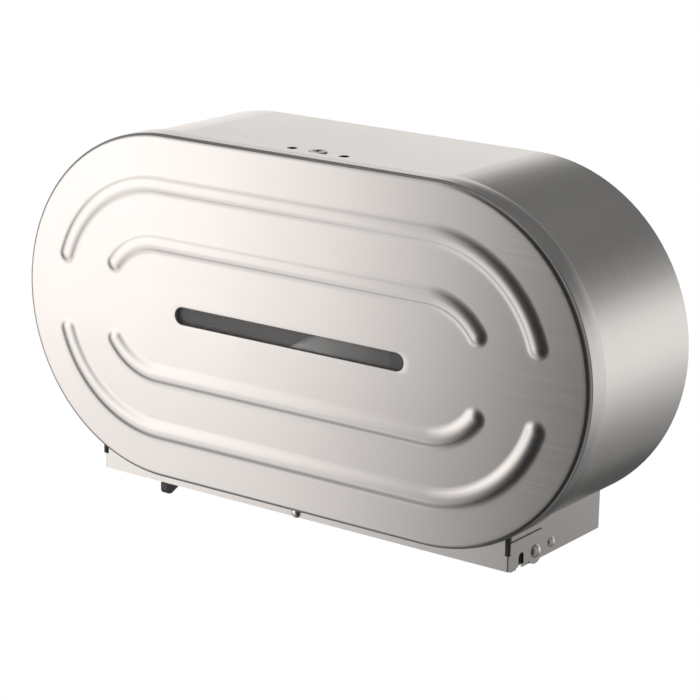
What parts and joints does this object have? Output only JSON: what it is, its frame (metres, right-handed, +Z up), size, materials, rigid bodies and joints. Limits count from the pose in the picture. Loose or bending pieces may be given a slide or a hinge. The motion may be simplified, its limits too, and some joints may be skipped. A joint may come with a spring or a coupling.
{
  "type": "jumbo toilet roll dispenser",
  "caption": "Wall-mounted twin jumbo toilet roll dispenser with round ends, beaded drop-down cover, viewing slot, key lock and outlet slider.",
  "frame": {"origin": "centre of the four wall bolts, on the back face of the back plate", "axes": "+X to the right seen from the front, along the long side; +Y into the wall; +Z up"},
  "size_m": [0.528, 0.1468, 0.298],
  "materials": {
    "stainless": "satin, brushed along the length",
    "stainless_base": "satin",
    "inner_steel": "mill finish",
    "rivet_steel": "polished heads",
    "spring_steel": "blued",
    "blade_steel": "satin",
    "black_rubber": "matt",
    "black_plastic": "fine grain",
    "hub_plastic": "fine grain",
    "smoked_pane": "smoked acrylic",
    "lock_chrome": "polished",
    "brass": "satin"
  },
  "bodies": {
    "cabinet": {"cabinet_shell": "stainless", "back_plate": "inner_steel", "outlet_tray": "stainless_base", "slider_rail_front": "inner_steel", "slider_rail_rear": "inner_steel", "left_tear_blade": "blade_steel", "right_tear_blade": "blade_steel", "pivot_rivets": "rivet_steel", "stop_rivets": "rivet_steel", "left_spindle": "inner_steel", "right_spindle": "inner_steel", "spindle_rivets": "rivet_steel", "hub_retainers": "rivet_steel", "lock_body": "lock_chrome", "lock_nut": "inner_steel", "latch_spring": "spring_steel", "latch_studs": "rivet_steel", "centre_stiffener": "inner_steel"},
    "cover": {"cover_pan": "stainless", "hinge_apron": "stainless_base", "apron_rivet": "rivet_steel", "corner_bumpers": "black_rubber", "window_pane": "smoked_pane", "window_clips": "inner_steel", "latch_keeper": "inner_steel"},
    "slider": {"slider_panel": "stainless_base", "slider_knob": "black_plastic", "knob_rivet": "rivet_steel"},
    "lock_cylinder": {"lock_plug": "brass", "lock_cam": "inner_steel", "cam_screw": "rivet_steel"},
    "left_roll_hub": {"left_hub": "hub_plastic"},
    "right_roll_hub": {"right_hub": "hub_plastic"}
  },
  "joints": [
    {"name": "cover_hinge", "type": "hinge", "parent": "cabinet", "child": "cover", "pos_m": [0, -0.095, -0.141], "axis": [1, 0, 0], "range_deg": [0, 140], "deforming": ["latch_spring"]},
    {"name": "slider_travel", "type": "slide", "parent": "cabinet", "child": "slider", "axis": [1, 0, 0], "range_m": [0, 0.21]},
    {"name": "left_hub_spin", "type": "hinge", "parent": "cabinet", "child": "left_roll_hub", "pos_m": [-0.129, -0.056, 0], "axis": [0, 1, 0], "continuous": true},
    {"name": "right_hub_spin", "type": "hinge", "parent": "cabinet", "child": "right_roll_hub", "pos_m": [0.129, -0.056, 0], "axis": [0, 1, 0], "continuous": true},
    {"name": "lock_turn", "type": "hinge", "parent": "cabinet", "child": "lock_cylinder", "pos_m": [0, -0.111, 0.13], "axis": [0, 0, 1], "range_deg": [0, 90]}
  ]
}
